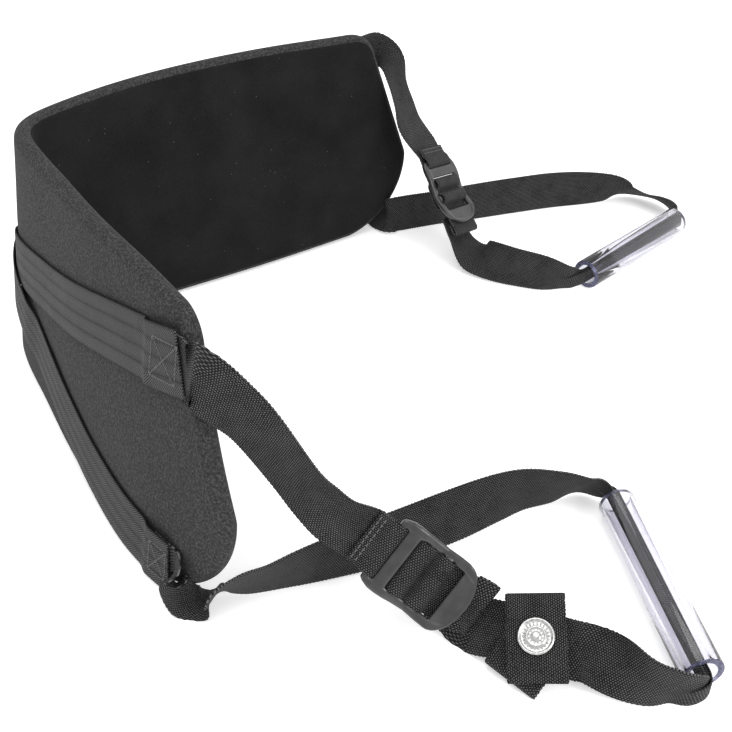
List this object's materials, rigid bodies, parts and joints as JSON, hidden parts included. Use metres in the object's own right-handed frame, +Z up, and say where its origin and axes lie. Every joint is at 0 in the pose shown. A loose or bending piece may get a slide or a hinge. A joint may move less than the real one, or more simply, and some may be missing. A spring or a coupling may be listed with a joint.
{
  "type": "padded back sling",
  "caption": "Padded back sling with adjustable webbing loops, ladder-lock buckles and clear tube hand grips",
  "frame": {"origin": "middle of the pad's bottom edge, on the surface it stands on", "axes": "+Z up the pad, +Y out of the pad's open side towards the grips, +X towards the loop that carries the snap keeper"},
  "size_m": [0.6883, 0.605, 0.2192],
  "materials": {
    "foam": "matt",
    "velvet": "short pile",
    "brushed_fabric": "brushed knit",
    "flat_band": "smooth herringbone webbing",
    "webbing": "coarse plain weave",
    "thread": "thread",
    "clear_tube": "clear polished plastic",
    "buckle_plastic": "satin",
    "nickel": "polished"
  },
  "bodies": {
    "sling": {"pad_foam_core": "foam", "pad_inner_cover": "velvet", "pad_outer_cover": "brushed_fabric", "back_band_rising": "flat_band", "back_band_falling": "flat_band", "near_upper_strap": "webbing", "near_lower_strap": "webbing", "far_upper_strap": "webbing", "far_lower_strap": "webbing", "near_upper_box_stitch": "thread", "near_lower_box_stitch": "thread", "far_upper_box_stitch": "thread", "far_lower_box_stitch": "thread"},
    "near_grip": {"near_grip_tube": "clear_tube"},
    "far_grip": {"far_grip_tube": "clear_tube"},
    "near_buckle": {"near_ladder_buckle": "buckle_plastic", "near_adjuster_webbing": "webbing"},
    "far_buckle": {"far_ladder_buckle": "buckle_plastic", "far_adjuster_webbing": "webbing"},
    "keeper": {"keeper_wrap_strip": "webbing", "keeper_back_strip": "webbing", "snap_stud": "nickel"},
    "keeper_flap": {"keeper_flap_strip": "webbing", "snap_cap": "nickel", "snap_socket": "nickel"}
  },
  "joints": [
    {"name": "near_grip_spin", "type": "hinge", "parent": "sling", "child": "near_grip", "pos_m": [0.2017, 0.556, 0.0143], "axis": [0.931, 0.365, 0], "continuous": true},
    {"name": "far_grip_spin", "type": "hinge", "parent": "sling", "child": "far_grip", "pos_m": [-0.2467, 0.535, 0.0143], "axis": [0.8243, -0.5662, 0], "continuous": true},
    {"name": "near_buckle_tilt", "type": "hinge", "parent": "sling", "child": "near_buckle", "pos_m": [0.255, 0.378, 0.061], "axis": [0.5301, -0.5066, -0.68], "range_deg": [0, 20]},
    {"name": "far_buckle_tilt", "type": "hinge", "parent": "sling", "child": "far_buckle", "pos_m": [-0.242, 0.332, 0.089], "axis": [0.879, -0.4188, 0.2278], "range_deg": [0, 20]},
    {"name": "keeper_slide", "type": "slide", "parent": "sling", "child": "keeper", "axis": [0.1505, 0.9882, 0.0301], "range_m": [0, 0.01]},
    {"name": "keeper_flap_open", "type": "hinge", "parent": "keeper", "child": "keeper_flap", "pos_m": [0.24657, 0.47576, 0.03234], "axis": [0.0932, -0.984, -0.152], "range_deg": [0, 110]}
  ]
}
